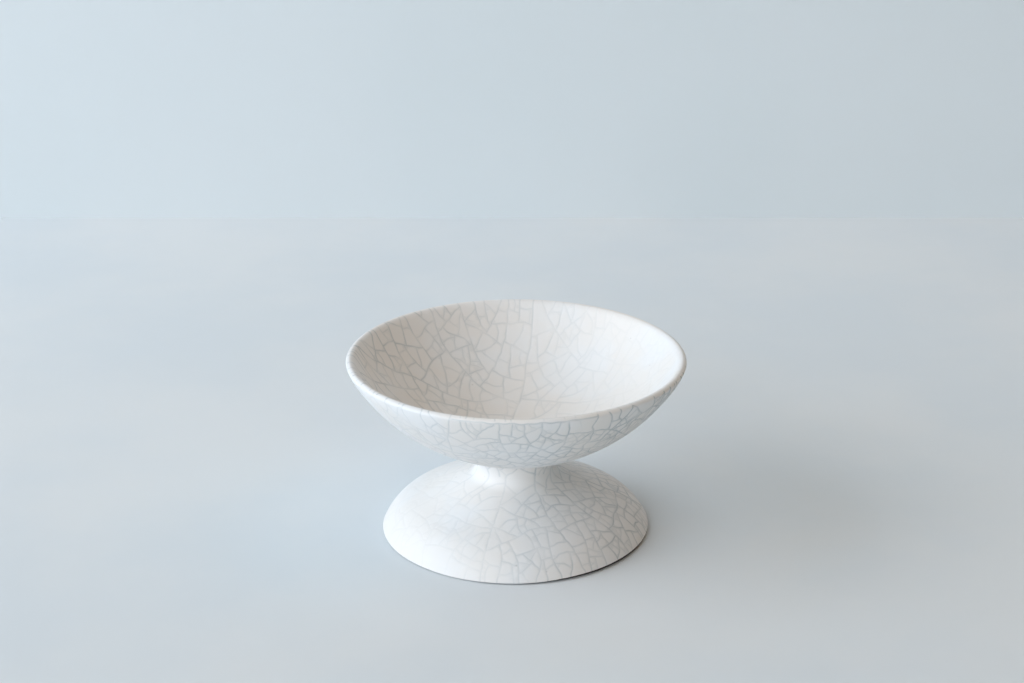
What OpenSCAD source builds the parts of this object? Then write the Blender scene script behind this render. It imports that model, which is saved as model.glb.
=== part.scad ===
// Footed compote bowl in crackle-glazed ceramic.
// A thrown bowl and a thrown bell foot are scored, luted together with slip at the waist
// and coated with glaze. Every piece is a full turn of one profile about the Z axis.
// Millimetres, Z up, origin on the table at the centre of the foot ring.

/* [Bowl] */
// Diameter of the rim, over the glaze
rim_d = 150; // [130:1:180]
// Depth of the bowl from the crest of the lip to the bottom of its round underside
bowl_depth = 46.5; // [38:0.5:56]
// Wall just under the lip, over both glazes
rim_wall = 2.8; // [2.2:0.1:4]
// Wall at the middle of the bowl, over both glazes
base_wall = 6; // [4:0.5:9]

/* [Waist] */
// Narrowest diameter of the waist, over the glaze
waist_d = 32; // [26:1:40]
// Radius of the hollow curve from the waist up to the bowl
upper_fillet = 8; // [5:0.5:12]
// Radius of the hollow curve from the waist down to the foot
lower_fillet = 11; // [7:0.5:14]

/* [Foot] */
// Diameter of the foot, over the glaze
foot_d = 120; // [108:1:136]
// Height of the waist above the table
foot_h = 30.5; // [27:0.5:35]
// Slope of the straight part of the foot, in degrees
foot_slope = 13; // [9:0.5:17]
// Slope of the foot's shoulder where it meets the table, in degrees
edge_slope = 66; // [52:1:76]
// Clay wall of the hollow foot
foot_wall = 4.5; // [3:0.5:6]
// Radius of the crown of the hollow under the foot
hollow_crown = 30; // [20:1:40]

/* [Luting joint] */
// Thickness of the slip between the two seats
slip_t = 0.8; // [0.4:0.1:1.5]
// Number of scored rings on each seat
score_count = 3; // [1:1:4]
// Width of a scored ring
score_w = 1.2; // [0.8:0.1:1.6]
// Depth of a scored ring
score_depth = 0.6; // [0.3:0.1:1]

/* [Glaze] */
// Thickness of the glaze coats
glaze_t = 0.5; // [0.3:0.1:0.8]
// Height of the bare clay left above the table
bare_h = 1; // [0.6:0.1:2]

/* [Hidden] */
$fn = 180;

// The lip is rolled a little thicker than the wall
lip_swell = 0.03;
// How far a round runs past its neighbour, so that the two cross in one clean circle
bite = 0.01;
// How far a cut runs past what it cuts
overrun = 5;

clay_colour = "#2f2924";
slip_colour = "#453c34";
glaze_colour = "#eceae6";

rim_r = rim_d / 2;
waist_r = waist_d / 2;
foot_r = foot_d / 2;

// Round of the lip: radius, and centre seen from the bottom of the bowl's underside
half_wall = rim_wall / 2;
lip_r = half_wall + lip_swell;
lip_x = rim_r - lip_r;
lip_rise = bowl_depth - lip_r;

// Round underside and inside of the bowl: two spheres that close on the lip, half a wall each side
outer_r = (lip_x ^ 2 + lip_rise ^ 2 - half_wall ^ 2) / (2 * (lip_rise - half_wall));
inner_rise = lip_rise - base_wall;
inner_r = (lip_x ^ 2 + inner_rise ^ 2 - half_wall ^ 2) / (2 * (inner_rise + half_wall));

// Upper hollow curve: its centre is level with the waist and it closes on the underside of the bowl
upper_x = waist_r + upper_fillet;
upper_reach = outer_r + upper_fillet - bite;
outer_z = foot_h + sqrt(upper_reach ^ 2 - upper_x ^ 2);
underside_z = outer_z - outer_r;
inner_z = underside_z + base_wall + inner_r;
lip_z = underside_z + lip_rise;
blend_x = upper_x * outer_r / upper_reach;

// Straight part of the foot: points with normal . point = line, tangent to the lower hollow curve
normal = [sin(foot_slope), cos(foot_slope)];
lower_centre = [waist_r + lower_fillet, foot_h];
line = normal * lower_centre - lower_fillet + bite;

// Shoulder of the foot: the round that leaves the straight part and ends at the glaze's edge
edge_point = [foot_r, bare_h];
edge_normal = [sin(edge_slope), cos(edge_slope)];
shoulder_r = (line + bite - normal * edge_point) / (1 - normal * edge_normal);
shoulder_centre = edge_point - shoulder_r * edge_normal;

// Seats of the luting joint, and the pitch of their scored rings
bowl_seat_z = foot_h + slip_t / 2;
foot_seat_z = foot_h - slip_t / 2;
score_pitch = (waist_r - glaze_t) / (score_count + 1);

// Height of the foot's straight part at radius x, under a coat of thickness inset
function slope_z(x, inset) = (line - inset - x * normal[0]) / normal[1];

// Everything under the two rays from the centre of the lip through the ends of its roll
module below_lip() {
    lip_centre = [lip_x, lip_z];
    out_ray = (lip_centre - [0, outer_z]) / outer_r;
    in_ray = ([0, inner_z] - lip_centre) / inner_r;
    polygon([
        lip_centre,
        lip_centre + in_ray * inner_r,
        [0, 0],
        [lip_x + out_ray[0] * outer_r, 0],
        lip_centre + out_ray * outer_r
    ]);
}

// Half section of the bowl under a coat of thickness inset, down to the level seat_z
module bowl_section(inset, seat_z) {
    difference() {
        union() {
            intersection() {
                translate([0, outer_z]) circle(outer_r - inset);
                below_lip();
            }
            difference() {
                translate([0, seat_z]) square([blend_x, underside_z + base_wall - seat_z]);
                translate([upper_x, foot_h]) circle(upper_fillet + inset);
            }
        }
        translate([0, inner_z]) circle(inner_r + inset);
        translate([-outer_r, 0]) square([outer_r, outer_z]);
    }
    translate([lip_x, lip_z]) circle(lip_r - inset);
}

// Half section of the foot, filled, under a coat of thickness inset, between two levels
module foot_section(inset, low_z, seat_z) {
    shoulder_x = shoulder_centre[0] + (shoulder_r - inset) * normal[0];
    neck_x = lower_centre[0] - (lower_fillet + inset) * normal[0];
    intersection() {
        translate([0, low_z]) square([foot_r + overrun, seat_z - low_z]);
        union() {
            translate(shoulder_centre) circle(shoulder_r - inset);
            polygon([
                [0, 0],
                [shoulder_x, 0],
                [shoulder_x, slope_z(shoulder_x, inset)],
                [0, slope_z(0, inset)]
            ]);
            difference() {
                square([neck_x, foot_h]);
                translate(lower_centre) circle(lower_fillet + inset);
            }
        }
    }
}

// Half section of the hollow under the foot, one clay wall inside the shoulder and the slope
module hollow_section() {
    inset = glaze_t + foot_wall;
    shoulder_x = shoulder_centre[0] + (shoulder_r - inset) * normal[0];
    crown_x = hollow_crown * normal[0];
    crown_z = (line - inset + bite - hollow_crown) / normal[1];
    intersection() {
        translate([0, -overrun]) square([foot_r, foot_h + overrun]);
        union() {
            translate(shoulder_centre) circle(shoulder_r - inset);
            translate([0, crown_z]) circle(hollow_crown);
            polygon([
                [0, -overrun],
                [shoulder_x, -overrun],
                [shoulder_x, slope_z(shoulder_x, inset)],
                [crown_x, slope_z(crown_x, inset)],
                [0, slope_z(crown_x, inset)]
            ]);
        }
    }
}

// The outer edge of the foot ring, bevelled from the glaze's edge down to the table
module ring_bevel() {
    drop = bare_h - shoulder_centre[1];
    clay_x = shoulder_centre[0] + sqrt((shoulder_r - glaze_t) ^ 2 - drop ^ 2);
    polygon([
        [clay_x + overrun, bare_h + overrun],
        [clay_x - bare_h - overrun, -overrun],
        [clay_x + overrun, -overrun]
    ]);
}

// Scored rings of a seat, from the level low_z up by one score
module scores(low_z) {
    for (i = [1 : score_count])
        translate([i * score_pitch - score_w / 2, low_z]) square([score_w, score_depth]);
}

// The two glaze coats of the bowl, still joined over the lip
module bowl_coat() {
    difference() {
        bowl_section(0, foot_h);
        bowl_section(glaze_t, foot_h - overrun);
    }
}

// Everything inside the middle of the wall, which parts the two coats at the crest of the lip
module inner_half() {
    translate([0, inner_z]) circle(inner_r + half_wall);
}

// Thrown clay bowl with its turned stub and scored seat
module bowl() {
    color(clay_colour)
        rotate_extrude()
            difference() {
                bowl_section(glaze_t, bowl_seat_z);
                scores(bowl_seat_z);
            }
}

// Thrown clay foot, hollow from below, with a scored seat and a bevelled ring
module pedestal_foot() {
    color(clay_colour)
        rotate_extrude()
            difference() {
                foot_section(glaze_t, 0, foot_seat_z);
                hollow_section();
                ring_bevel();
                scores(foot_seat_z - score_depth);
            }
}

// Luting slip: a thin layer between the seats that fills the scored rings of both
module slip_joint() {
    color(slip_colour)
        rotate_extrude() {
            foot_section(glaze_t, foot_seat_z, foot_h);
            difference() {
                translate([0, foot_h]) square([waist_r, slip_t / 2]);
                translate([upper_x, foot_h]) circle(upper_fillet + glaze_t);
            }
            scores(bowl_seat_z);
            scores(foot_seat_z - score_depth);
        }
}

// Glaze poured inside the bowl, up to the crest of the lip
module inside_glaze() {
    color(glaze_colour)
        rotate_extrude()
            intersection() {
                bowl_coat();
                inner_half();
            }
}

// Glaze on the outside of the bowl, from the crest of the lip down to the waist
module outside_glaze() {
    color(glaze_colour)
        rotate_extrude()
            difference() {
                bowl_coat();
                inner_half();
            }
}

// Glaze on the foot, from the waist down to the bare clay
module foot_glaze() {
    color(glaze_colour)
        rotate_extrude()
            difference() {
                foot_section(0, bare_h, foot_h);
                foot_section(glaze_t, bare_h - overrun, foot_h + overrun);
            }
}

bowl();
pedestal_foot();
slip_joint();
inside_glaze();
outside_glaze();
foot_glaze();
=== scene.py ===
# %% [markdown]
# # A footed compote bowl in crackle glaze
# The object is a shallow bowl on a wide hollow foot. A potter throws the two on the wheel, lutes them
# together at the waist with slip, and coats them with a white glaze. As the pot cools the glaze shrinks
# more than the clay and cracks all over, and dark stain is rubbed into the cracks. The solid model already
# fixes every size and place. This lesson gives it its looks: three coats of glaze with a real network of
# cracks, bare dark clay under the foot, soft daylight from the left and the camera of the photograph.

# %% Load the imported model
import math
import random
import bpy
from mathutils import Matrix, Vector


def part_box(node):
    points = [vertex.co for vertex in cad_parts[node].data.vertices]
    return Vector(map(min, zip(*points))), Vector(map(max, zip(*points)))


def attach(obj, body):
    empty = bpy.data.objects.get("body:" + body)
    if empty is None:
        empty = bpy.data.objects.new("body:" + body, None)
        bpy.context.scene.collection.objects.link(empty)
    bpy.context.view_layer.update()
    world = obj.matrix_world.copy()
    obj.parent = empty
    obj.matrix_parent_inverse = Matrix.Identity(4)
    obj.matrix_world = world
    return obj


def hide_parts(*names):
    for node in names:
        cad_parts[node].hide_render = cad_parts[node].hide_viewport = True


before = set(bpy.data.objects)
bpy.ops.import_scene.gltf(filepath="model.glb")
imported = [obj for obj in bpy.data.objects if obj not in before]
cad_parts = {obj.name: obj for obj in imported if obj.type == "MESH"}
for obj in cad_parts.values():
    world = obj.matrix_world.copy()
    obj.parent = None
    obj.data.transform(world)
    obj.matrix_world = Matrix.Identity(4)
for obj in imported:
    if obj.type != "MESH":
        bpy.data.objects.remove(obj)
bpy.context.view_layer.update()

from types import SimpleNamespace

import bpy
import numpy as np
from mathutils import Vector
from mathutils.geometry import delaunay_2d_cdt
from mathutils.kdtree import KDTree

mm = 0.001
scene = bpy.context.scene
print("nodes:", sorted(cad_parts))

# %% [markdown]
# ## Camera
# The camera comes first, because everything else is judged through it. The photograph looks down on the
# bowl at a moderate angle with a long lens. The lens is written as a focal length in pixels of the 1024 by
# 683 image, which is what a fit to the outline gives, and is turned into millimetres for Blender's 36 mm
# sensor.

# %% Camera at the photograph's viewing angle
image_width = 1024
sensor_width = 36.0
focal_pixels = 2000.0
camera_pitch = math.radians(20.695)
camera_place = Vector((-1.86, -819.55, 397.64)) * mm

camera_data = bpy.data.cameras.new("camera")
camera_data.sensor_width = sensor_width
camera_data.lens = focal_pixels * sensor_width / image_width
camera = bpy.data.objects.new("camera", camera_data)
camera.location = camera_place
camera.rotation_euler = (math.pi / 2 - camera_pitch, 0, 0)
scene.collection.objects.link(camera)
scene.camera = camera
print("lens:", round(camera_data.lens, 2), "mm")

# %% [markdown]
# ## Profile of the glaze
# A thrown pot is one curve turned about its axis. The curve of the glazed skin is made of arcs and one
# straight line, the same as in the solid model: the round inside, the rolled lip, the round underside, two
# hollow curves at the waist, the slope of the foot and its shoulder. Overall sizes are read from the boxes
# of the solid nodes, and only the radii and slopes that a box can't tell are written down here.

# %% Sizes read from the solid model
inside_low, inside_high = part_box("inside_glaze")
outside_low, outside_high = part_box("outside_glaze")
foot_low, foot_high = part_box("foot_glaze")
clay_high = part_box("bowl")[1]

rim_radius = outside_high.y
glaze_thickness = outside_high.x - clay_high.x
crest_z = inside_high.z
bowl_floor_z = inside_low.z + glaze_thickness
waist_z = outside_low.z
foot_radius = foot_high.y
edge_z = foot_low.z
print("rim radius", round(rim_radius / mm, 2), "glaze", round(glaze_thickness / mm, 2), "mm")

# %% Radii and slopes that the boxes can't tell
waist_radius = 16.0 * mm
bowl_wall = 6.0 * mm
rim_wall = 2.8 * mm
lip_swell = 0.03 * mm
upper_hollow = 8.0 * mm
lower_hollow = 11.0 * mm
foot_slope = math.radians(13.0)
edge_slope = math.radians(66.0)

half_wall = rim_wall / 2
lip_radius = half_wall + lip_swell
lip = np.array([rim_radius - lip_radius, crest_z - lip_radius])
underside_z = bowl_floor_z - bowl_wall


def sphere_radius(rise, side):
    """Radius of a round that starts rise below the lip and closes on it half a wall to one side."""
    return (lip[0] ** 2 + rise ** 2 - half_wall ** 2) / (2 * (rise + side * half_wall))


inner_radius = sphere_radius(lip[1] - bowl_floor_z, 1)
outer_radius = sphere_radius(lip[1] - underside_z, -1)
inner_centre = np.array([0.0, bowl_floor_z + inner_radius])
outer_centre = np.array([0.0, underside_z + outer_radius])
upper_centre = np.array([waist_radius + upper_hollow, waist_z])
lower_centre = np.array([waist_radius + lower_hollow, waist_z])

slope_normal = np.array([math.sin(foot_slope), math.cos(foot_slope)])
edge_normal = np.array([math.sin(edge_slope), math.cos(edge_slope)])
edge_point = np.array([foot_radius, edge_z])
slope_foot = lower_centre - lower_hollow * slope_normal
shoulder_radius = ((slope_foot - edge_point) @ slope_normal) / (1 - slope_normal @ edge_normal)
shoulder_centre = edge_point - shoulder_radius * edge_normal
print("bowl radii", round(inner_radius / mm, 2), round(outer_radius / mm, 2), "mm")

# %% Curves of the three coats
profile_step = 0.25 * mm
hem_spare = 0.8 * mm
quarter = math.pi / 2


def angle_of(way):
    return math.atan2(way[1], way[0])


def ways_at(angles):
    """Steps of length 1 in the directions of some angles."""
    return np.column_stack((np.cos(angles), np.sin(angles)))


def lengths_of(ways):
    """The length of each way, or the distance of each place of a chart from the chart's middle."""
    return np.hypot(ways[:, 0], ways[:, 1])


def arc(centre, radius, first, last):
    """Points along an arc of the profile, as radius and height, from one angle to another."""
    count = max(2, round(abs(last - first) * radius / profile_step))
    angles = np.linspace(first, last, count)
    return centre + radius * ways_at(angles)


def chain(*runs):
    """Runs of points end to end, without the points that two runs share."""
    return np.vstack([runs[0]] + [run[1:] for run in runs[1:]])


inner_lean = angle_of(lip - inner_centre)
outer_lean = angle_of(lip - outer_centre)
crest_lean = inner_lean + quarter
edge_lean = quarter - edge_slope - hem_spare / shoulder_radius


def outside_profile(hollow_centre, hollow_radius):
    """The outside of the bowl from the waist to the crest: a hollow curve, the underside and the lip."""
    waist_lean = angle_of(hollow_centre - outer_centre)
    return chain(
        arc(hollow_centre, hollow_radius, math.pi, waist_lean + math.pi),
        arc(outer_centre, outer_radius, waist_lean, outer_lean),
        arc(lip, lip_radius, outer_lean, crest_lean),
    )


def foot_profile(hollow_centre, hollow_radius, slope):
    """The foot from the waist to just past the glaze's edge: a hollow curve, a slope and the shoulder."""
    return chain(
        arc(hollow_centre, hollow_radius, math.pi, math.pi + quarter - slope),
        arc(shoulder_centre, shoulder_radius, quarter - slope, edge_lean),
    )


inside_curve = chain(
    arc(inner_centre, inner_radius, -quarter, inner_lean),
    arc(lip, lip_radius, inner_lean + math.pi, crest_lean),
)
outside_curve = outside_profile(upper_centre, upper_hollow)
foot_curve = foot_profile(lower_centre, lower_hollow, foot_slope)
print("points on the curves:", len(inside_curve), len(outside_curve), len(foot_curve))

# %% [markdown]
# ## Skin of the neck
# On the real pot the foot rises to the waist in a steeper slope than the clay of the solid model does.
# Potters pack the joint with slip, and glaze runs into the hollow and stays there. So the two coats that
# meet at the waist get a second curve for their faces, while their backs stay on the clay. Both curves
# share the lip and the shoulder, and the same two functions draw them.

# %% Curves of the skin at the neck
skin_waist = 18.0 * mm
skin_slope = math.radians(23.0)

skin_normal = np.array([math.sin(skin_slope), math.cos(skin_slope)])
neck = np.array([skin_waist, waist_z])
bowl_rise = outer_centre[1] - waist_z
skin_upper = (skin_waist ** 2 + bowl_rise ** 2 - outer_radius ** 2) / (2 * (outer_radius - skin_waist))
skin_lower = ((neck - shoulder_centre) @ skin_normal - shoulder_radius) / (1 - skin_normal[0])
outside_skin = outside_profile(neck + np.array([skin_upper, 0.0]), skin_upper)
foot_skin = foot_profile(neck + np.array([skin_lower, 0.0]), skin_lower, skin_slope)
print("hollow curves of the neck:", round(skin_upper / mm, 2), round(skin_lower / mm, 2), "mm")

# %% [markdown]
# ## Soft edges
# Two edges of the real glaze are softer than those of the solid model. Glaze draws back from the crest of
# the lip and gathers just inside it, so the lip looks full. Round the foot a sponge wiped the glaze away,
# and the edge is set higher on the right than on the left. The wider strip of bare dark clay on the right
# is partly painted shade, for the dark shade under that side of the foot. A modifier would round both
# edges evenly. Small functions of the distance to the edge, or of the turn about the axis, say just where
# the glaze lies.

# %% A full lip
lip_dip = 0.38 * mm
lip_shoulder = 1.0 * mm
shoulder_length = 3.5 * mm
shoulder_fade = 28.0 * mm
lip_fall = 6.0 * mm


def ease(share):
    """A soft step from 0 to 1."""
    share = np.clip(share, 0, 1)
    return share * share * (3 - 2 * share)


def even_face(gap):
    return 0.0 * gap


def full_shoulder(gap):
    """How far the inside glaze stands off its curve: thin on the seam of the lip, full just inside it."""
    rise = (lip_dip + lip_shoulder) * ease(gap / shoulder_length) - lip_dip
    return rise - lip_shoulder * ease((gap - shoulder_length) / shoulder_fade)


def thin_shoulder(gap):
    """How far the outside glaze stands off its curve: thin on the seam of the lip and even below it."""
    return lip_dip * (ease(gap / lip_fall) - 1)


lip_heights = [round(float(full_shoulder(gap)) / mm, 2) for gap in (0.0, shoulder_length)]
print("glaze off its curve on the crest and inside it:", lip_heights, "mm")

# %% A sponged foot edge, higher on the right as partly painted shade
shade_side_way = math.radians(21)
sponge_lift = 0.27 * mm
shade_side_swing = 0.85 * mm
sponge_steepness = 2.2
sponge_ripples = [(0.05 * mm, 5, 1.0), (0.04 * mm, 11, 2.0)]


def even_edge(turn):
    return 0.0 * turn


def sponged_edge_and_shade(turn):
    """Rise of the foot's glaze edge over the solid model: sponged, higher on the right as partly painted
    shade
    """
    # The swing to the right uncovers more dark clay where shade falls under the foot: partly painted
    # shade.
    lift = sponge_lift + shade_side_swing * np.tanh(sponge_steepness * np.cos(turn - shade_side_way))
    for height, count, phase in sponge_ripples:
        lift = lift + height * np.sin(count * turn + phase)
    return lift


edge_heights = [round(float(sponged_edge_and_shade(turn)) / mm, 2) for turn in (0.0, math.pi)]
print("the sponged edge is higher at the right and the left by:", edge_heights, "mm")

# %% [markdown]
# ## Flat charts
# Cracks are easiest to draw on a flat sheet. Each coat gets a round chart, like a map seen from above its
# pole: the distance from the middle is the length along the profile, and the angle is the turn about the
# axis. Bowls and feet are shallow, so the chart hardly stretches them. A chart also serves as the coat's
# texture map later on.

# %% A coat and its chart
crest_count = 420
waist_count = 120
edge_count = 360
hem_length = 8.0 * mm


def trace(curve, start, side):
    """A curve with the chart's distance and the normal at each of its points."""
    steps = lengths_of(np.diff(curve, axis=0))
    reach = start + np.concatenate(([0.0], np.cumsum(steps)))
    tangent = np.gradient(curve, reach, axis=0)
    tangent /= lengths_of(tangent)[:, None]
    normal = side * np.column_stack((-tangent[:, 1], tangent[:, 0]))
    return SimpleNamespace(curve=curve, reach=reach, normal=normal)


def make_coat(name, curve, skin, start, side, counts, spare=0.0, rise=even_edge, fullness=even_face):
    """One coat of glaze. curve carries its back and skin its face.

    start is the chart's radius where both begin, side turns the normal to the air, and counts are the
    numbers of points round the coat's edges. spare is how far the curves go on past the outer edge, rise
    lifts that edge, and fullness is how far the face stands off the skin, by the distance to the edge."""
    back = trace(curve, start, side)
    face = trace(skin, start, side)
    face.reach = start + (face.reach - start) * (back.reach[-1] - start) / (face.reach[-1] - start)
    return SimpleNamespace(
        name=name, back=back, face=face, side=side, start=start, end=back.reach[-1] - spare,
        counts=counts, rise=rise, fullness=fullness,
    )


def place_on(coat, layer, chart, lift, floor_z=-math.inf):
    """Where points of the chart lie in space, lifted off a layer along its normal, not below floor_z."""
    distance = lengths_of(chart)
    turn = np.arctan2(chart[:, 1], chart[:, 0])
    hem = np.clip((distance - coat.end) / hem_length + 1, 0, 1)
    distance = distance - coat.rise(turn) * hem ** 2
    radius = np.interp(distance, layer.reach, layer.curve[:, 0])
    height = np.interp(distance, layer.reach, layer.curve[:, 1])
    radius = radius + lift * np.interp(distance, layer.reach, layer.normal[:, 0])
    height = height + lift * np.interp(distance, layer.reach, layer.normal[:, 1])
    return np.column_stack((radius * np.cos(turn), radius * np.sin(turn), np.maximum(height, floor_z)))


inside_coat = make_coat(
    "inside_glaze", inside_curve, inside_curve, 0.0, 1, [crest_count], fullness=full_shoulder,
)
outside_coat = make_coat(
    "outside_glaze", outside_curve, outside_skin, waist_radius, -1, [waist_count, crest_count],
    fullness=thin_shoulder,
)
foot_coat = make_coat(
    "foot_glaze", foot_curve, foot_skin, waist_radius, 1, [waist_count, edge_count], hem_spare,
    rise=sponged_edge_and_shade,
)
coats = [inside_coat, outside_coat, foot_coat]
for coat in coats:
    print(coat.name, "chart radius", round(coat.end / mm, 1), "mm")

# %% [markdown]
# ## How glaze cracks
# A glaze cracks in order. The first cracks are long and cross the whole coat. Each later crack starts and
# ends on an older one and meets it nearly square, so the plates grow smaller in steps. A Voronoi texture
# gives another look, with three even arms at every corner. So the script does what the glaze does: it
# splits a plate across its long side, then splits the halves, until every plate is as small as the
# photograph shows. All chance comes from seeded draws, so that the pot cracks alike each time.

# %% A net of cracks with shared points
crack_step = 0.6 * mm


class CrackNet:
    """Cracks on a flat chart. Points have numbers: a plate is a loop of them and a crack is a run."""

    def __init__(self, seed):
        self.chance = random.Random(seed)
        self.points = []
        self.may_end = []
        self.endings = []
        self.cracks = []
        self.plates = []

    def add(self, point, may_end=True):
        self.points.append((float(point[0]), float(point[1])))
        self.may_end.append(may_end)
        self.endings.append(0)
        return len(self.points) - 1

    def places(self, numbers):
        return np.array([self.points[number] for number in numbers])

    def open_crack(self, run, strength):
        self.endings[run[0]] += 1
        self.endings[run[-1]] += 1
        self.cracks.append((run, strength))


def add_ring(net, radius, count, open_places=None):
    """A ring of numbered points. Cracks may end only at the open places, if those are given."""
    turns = np.linspace(0, 2 * math.pi, count, endpoint=False)
    open_places = [True] * count if open_places is None else open_places
    ring = []
    for turn, is_open in zip(turns, open_places):
        ring.append(net.add((radius * math.cos(turn), radius * math.sin(turn)), is_open))
    return ring


print("a crack has a point every", crack_step / mm, "mm")

# %% A crack that bows and wanders
wander_lengths = [31 * mm, 17 * mm, 8 * mm, 4 * mm]
longest_wave_share = 2.5
taper_length = 4 * mm


def wandering_line(net, first, last, style, first_way, last_way):
    """Points between two places. The line leaves each end along its way, bows, and wanders a little."""
    chord = last - first
    length = np.hypot(*chord)
    count = max(2, round(length / crack_step))
    along = np.linspace(0, 1, count + 1)[1:-1]
    rest = 1 - along
    first_handle = first + first_way * length / 3
    last_handle = last + last_way * length / 3
    line = np.outer(rest ** 3, first) + np.outer(3 * rest ** 2 * along, first_handle)
    line += np.outer(3 * rest * along ** 2, last_handle) + np.outer(along ** 3, last)
    drift = net.chance.gauss(0, style.bow) * length * np.sin(math.pi * along)
    for wave in wander_lengths:
        phase = net.chance.uniform(0, 2 * math.pi)
        swing = net.chance.gauss(0, style.wander) * wave
        if wave < longest_wave_share * length:
            drift = drift + swing * np.sin(2 * math.pi * along * length / wave + phase)
    taper = np.minimum(1, np.minimum(along, rest) * length / taper_length)
    side = np.array([-chord[1], chord[0]]) / length
    return line + np.outer(drift * taper, side)


print("cracks wander in waves of", [round(wave / mm) for wave in wander_lengths], "mm")

# %% [markdown]
# ## One plate of glaze
# Glaze under tension tears across the long side of a plate, and the crack meets the plate's edge nearly
# square. So a plate is measured first: its area, its centre and the short way across it. Then the script
# looks along that way for two free places on the edge, and tries lines, each a little looser than the
# last, until one keeps clear of its neighbours. A mesh could be cut with booleans instead, but a plate
# that is only a loop of numbered points is much quicker to measure, test and split.

# %% Measuring a plate
shortest_way = 1e-12
smallest_part = 1e-18


def unit(way):
    return way / max(np.hypot(*way), shortest_way)


def area_and_centre(loop):
    after = np.roll(loop, -1, axis=0)
    cross = loop[:, 0] * after[:, 1] - after[:, 0] * loop[:, 1]
    area = cross.sum() / 2
    centre = ((loop + after) * cross[:, None]).sum(axis=0) / (6 * area)
    return abs(area), centre


def is_inside(points, loop):
    """Whether each point lies inside the loop, by counting the edges to its right."""
    x = points[:, :1]
    y = points[:, 1:]
    after = np.roll(loop, -1, axis=0)
    rise = after[:, 1] - loop[:, 1]
    rise = np.where(rise == 0, smallest_part, rise)
    spans = (loop[:, 1] > y) != (after[:, 1] > y)
    edge_x = (after[:, 0] - loop[:, 0]) * (y - loop[:, 1]) / rise + loop[:, 0]
    return (spans & (x < edge_x)).sum(axis=1) % 2 == 1


test_plate = np.array([(4.0, 0.0), (6.0, 0.0), (6.0, 1.0), (4.0, 1.0)])
test_area, test_centre = area_and_centre(test_plate)
print("a test plate of 2 by 1 has the area", test_area, "and the centre", test_centre)

# %% The short way across a plate


def short_way(loop, centre, grain):
    """Direction across the plate's long side, and how long the plate is for its width.

    A grain above 1 makes the plate count as wider than it is, so that more cracks run up and down."""
    up = unit(centre)
    across = np.array([-up[1], up[0]])
    after = np.roll(loop, -1, axis=0)
    weight = lengths_of(after - loop)
    middle = (loop + after) / 2 - centre
    upward = middle @ up
    sideward = middle @ across * grain
    tall = (weight * upward * upward).sum()
    wide = (weight * sideward * sideward).sum()
    mixed = (weight * upward * sideward).sum()
    lean = 0.5 * math.atan2(2 * mixed, tall - wide)
    spread = math.hypot(tall - wide, 2 * mixed)
    ratio = math.sqrt((tall + wide + spread) / max(tall + wide - spread, smallest_part))
    return unit(-math.sin(lean) * up + math.cos(lean) / grain * across), ratio


print("the short way across the test plate is", short_way(test_plate, test_centre, 1.0)[0].round(2))

# %% Where a crack meets an older one
end_search = 3
most_star_arms = 4
look_along = 2


def meeting_place(loop, origin, way):
    """Number of the loop's point nearest to where a ray from inside meets the loop."""
    edge = np.roll(loop, -1, axis=0) - loop
    gap = loop - origin
    turn = way[0] * edge[:, 1] - way[1] * edge[:, 0]
    turn = np.where(np.abs(turn) < smallest_part, smallest_part, turn)
    along_ray = (gap[:, 0] * edge[:, 1] - gap[:, 1] * edge[:, 0]) / turn
    along_edge = (gap[:, 0] * way[1] - gap[:, 1] * way[0]) / turn
    meets = (along_ray > 0) & (along_edge >= 0) & (along_edge <= 1)
    if not meets.any():
        return None
    nearest = int(np.argmin(np.where(meets, along_ray, np.inf)))
    return nearest if along_edge[nearest] < 0.5 else (nearest + 1) % len(loop)


def free_end(net, plate, near, star_share):
    """A place on the plate's edge where a crack may end: a free one, or at times one where others end."""
    joins_star = net.chance.random() < star_share
    choice = None
    for offset in sorted(range(-end_search, end_search + 1), key=abs):
        at = (near + offset) % len(plate)
        number = plate[at]
        if not net.may_end[number]:
            continue
        if joins_star and 0 < net.endings[number] < most_star_arms:
            return at
        close = [plate[at - 1], number, plate[(at + 1) % len(plate)]]
        if choice is None and not any(net.endings[other] for other in close):
            choice = at
    return choice


def square_way(loop, at, chord, square):
    """The direction in which a crack leaves the loop, leaning from its chord to the square direction.

    Also gives how sharp the corner is that it makes with the loop, as a cosine."""
    back = unit(loop[(at - look_along) % len(loop)] - loop[at])
    ahead = unit(loop[(at + look_along) % len(loop)] - loop[at])
    middle = unit(np.array([back[1] - ahead[1], ahead[0] - back[0]]))
    middle = middle if middle @ chord > 0 else -middle
    way = unit(unit(chord) + square * middle)
    return way, max(way @ back, way @ ahead)


test_corner = meeting_place(test_plate, test_centre, np.array([1.0, 0.2]))
print("a ray to the right leaves the test plate near its corner", test_corner)

# %% Where a crack may cross a plate
fewest_points = 4


def measured(net, plate, style):
    """A plate with its loop of places, its size and the direction across its long side."""
    loop = net.places(plate)
    area, centre = area_and_centre(loop)
    across, ratio = short_way(loop, centre, style.grain)
    return SimpleNamespace(plate=plate, loop=loop, area=area, centre=centre, across=across, ratio=ratio)


def crossing_places(net, shape, style, loose):
    """Two places of a plate's loop between which a crack may cross it, or nothing where none are free."""
    lean = net.chance.gauss(0, style.lean) * loose
    turn = np.array([[math.cos(lean), -math.sin(lean)], [math.sin(lean), math.cos(lean)]])
    way = turn @ shape.across
    shift = net.chance.gauss(0, style.shift) * math.sqrt(shape.area) * shape.ratio / 2
    origin = shape.centre + shift * np.array([-way[1], way[0]])
    if not is_inside(origin[None, :], shape.loop)[0]:
        return None
    met = [meeting_place(shape.loop, origin, way), meeting_place(shape.loop, origin, -way)]
    if None in met:
        return None
    ends = [free_end(net, shape.plate, place, style.stars) for place in met]
    if None in ends:
        return None
    low, high = sorted(ends)
    if high - low < fewest_points or len(shape.plate) + low - high < fewest_points:
        return None
    return low, high


print("a half of a plate has at least", fewest_points, "steps of the old edge")

# %% The line of a crack across a plate
clear_share = 0.45


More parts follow.
